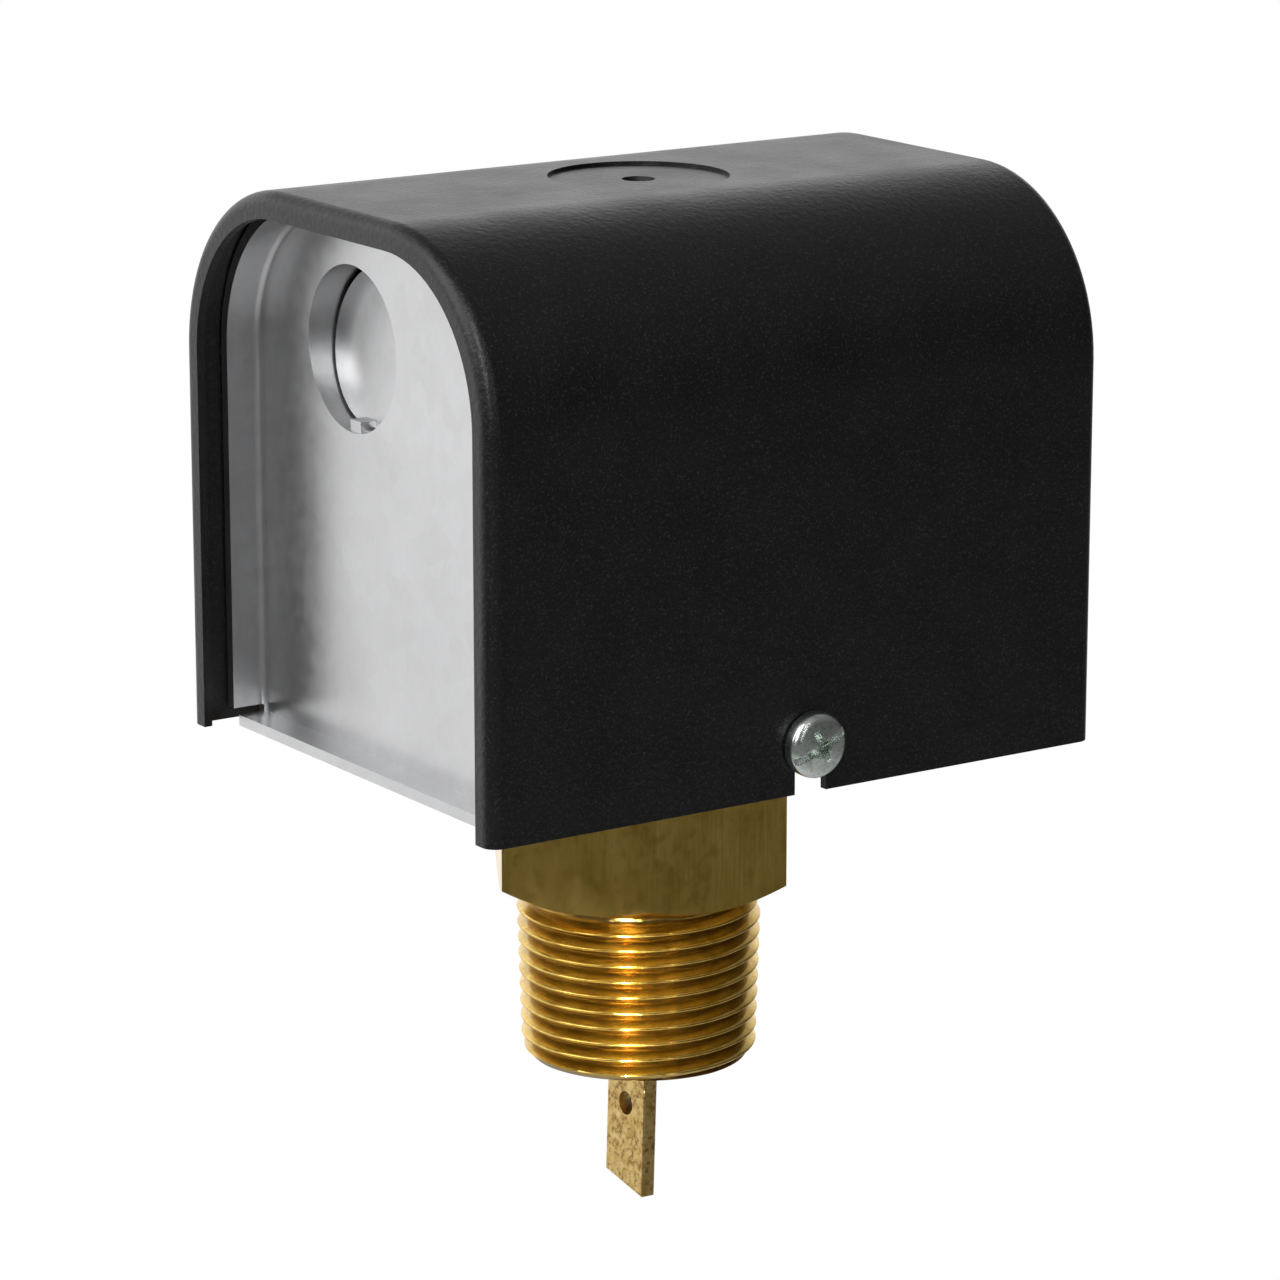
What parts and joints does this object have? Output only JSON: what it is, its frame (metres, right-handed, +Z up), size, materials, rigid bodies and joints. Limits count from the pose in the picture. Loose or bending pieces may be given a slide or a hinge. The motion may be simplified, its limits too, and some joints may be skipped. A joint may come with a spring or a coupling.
{
  "type": "paddle flow switch",
  "caption": "Pipe-mounted flow switch: arched steel cover on galvanised end plates, taper-threaded brass hexagon and a rocking flat paddle arm.",
  "frame": {"origin": "on the pipe thread's axis, at the underside of the hexagon, where the thread begins", "axes": "+Z up along the thread axis away from the pipe, +X along the housing and the flow, +Y across it"},
  "size_m": [0.0952, 0.0814, 0.1403],
  "materials": {
    "black_powder_coat": "satin black powder coat with fine orange peel",
    "galvanised_steel": "galvanised sheet, matt light grey with faint spangle",
    "zinc_plate": "bright zinc plate, slightly blue-green",
    "zinc_plate_sheet": "zinc-plated sheet",
    "stainless_steel": "stainless strip, mill finish",
    "spring_steel": "spring steel wire, plated",
    "brass_body": "machined brass, dull",
    "brass_arm": "rolled brass bar, rubbed bright",
    "brass_turned": "turned brass",
    "bronze_bellows": "phosphor bronze",
    "gasket_rubber": "nitrile sheet",
    "phenolic": "dark brown phenolic moulding",
    "terminal_brass": "bright brass",
    "plunger_plastic": "red acetal",
    "fish_paper": "grey vulcanised fibre sheet",
    "green_screw": "green-dyed earthing screw"
  },
  "bodies": {
    "housing": {"pipe_body": "brass_body", "base_plate": "galvanised_steel", "end_plate_left": "galvanised_steel", "end_plate_right": "galvanised_steel", "cover_screws": "zinc_plate", "flange_gasket": "gasket_rubber", "bellows_flange": "brass_turned", "bellows": "bronze_bellows", "pivot_yoke": "stainless_steel", "yoke_screws": "zinc_plate", "pivot_pin": "stainless_steel", "pivot_clips": "spring_steel", "switch_bracket": "zinc_plate_sheet", "bracket_screws": "zinc_plate", "insulator_sheet": "fish_paper", "switch_case": "phenolic", "terminal_plates": "terminal_brass", "terminal_screws": "terminal_brass", "switch_screws": "zinc_plate", "ground_screw": "green_screw", "range_spring": "spring_steel"},
    "cover": {"cover": "black_powder_coat"},
    "rocker": {"paddle_arm": "brass_arm", "arm_socket": "brass_turned", "arm_rivet": "brass_turned", "arm_stem": "brass_turned", "pivot_hub": "brass_turned", "actuator_lever": "stainless_steel", "lever_screw": "zinc_plate"},
    "plunger": {"switch_plunger": "plunger_plastic"},
    "range_screw": {"range_screw": "zinc_plate", "range_clip": "spring_steel"},
    "spring_seat": {"spring_seat": "zinc_plate_sheet"}
  },
  "joints": [
    {"name": "cover_lift", "type": "slide", "parent": "housing", "child": "cover", "axis": [0, 0, 1], "range_m": [0, 0.08]},
    {"name": "paddle_rock", "type": "hinge", "parent": "housing", "child": "rocker", "pos_m": [0, 0, 0.032], "axis": [0, -1, 0], "range_deg": [0, 6.5], "stiffness_Nm_per_rad": 1.2, "springref_deg": -5.73, "deforming": ["bellows", "range_spring"]},
    {"name": "plunger_travel", "type": "slide", "parent": "housing", "child": "plunger", "axis": [0, 0, 1], "range_m": [0, 0.0014]},
    {"name": "range_screw_turn", "type": "hinge", "parent": "housing", "child": "range_screw", "pos_m": [-0.027, 0, 0.04], "axis": [0, 0, 1], "range_deg": [0, 720]},
    {"name": "spring_seat_travel", "type": "slide", "parent": "housing", "child": "spring_seat", "axis": [0, 0, 1], "range_m": [0, 0.00159]}
  ],
  "couplings": [
    {"joint": "plunger_travel", "follows": "paddle_rock", "m_per_rad": 0.012},
    {"joint": "range_screw_turn", "follows": "spring_seat_travel", "rad_per_m": 7915.8}
  ]
}
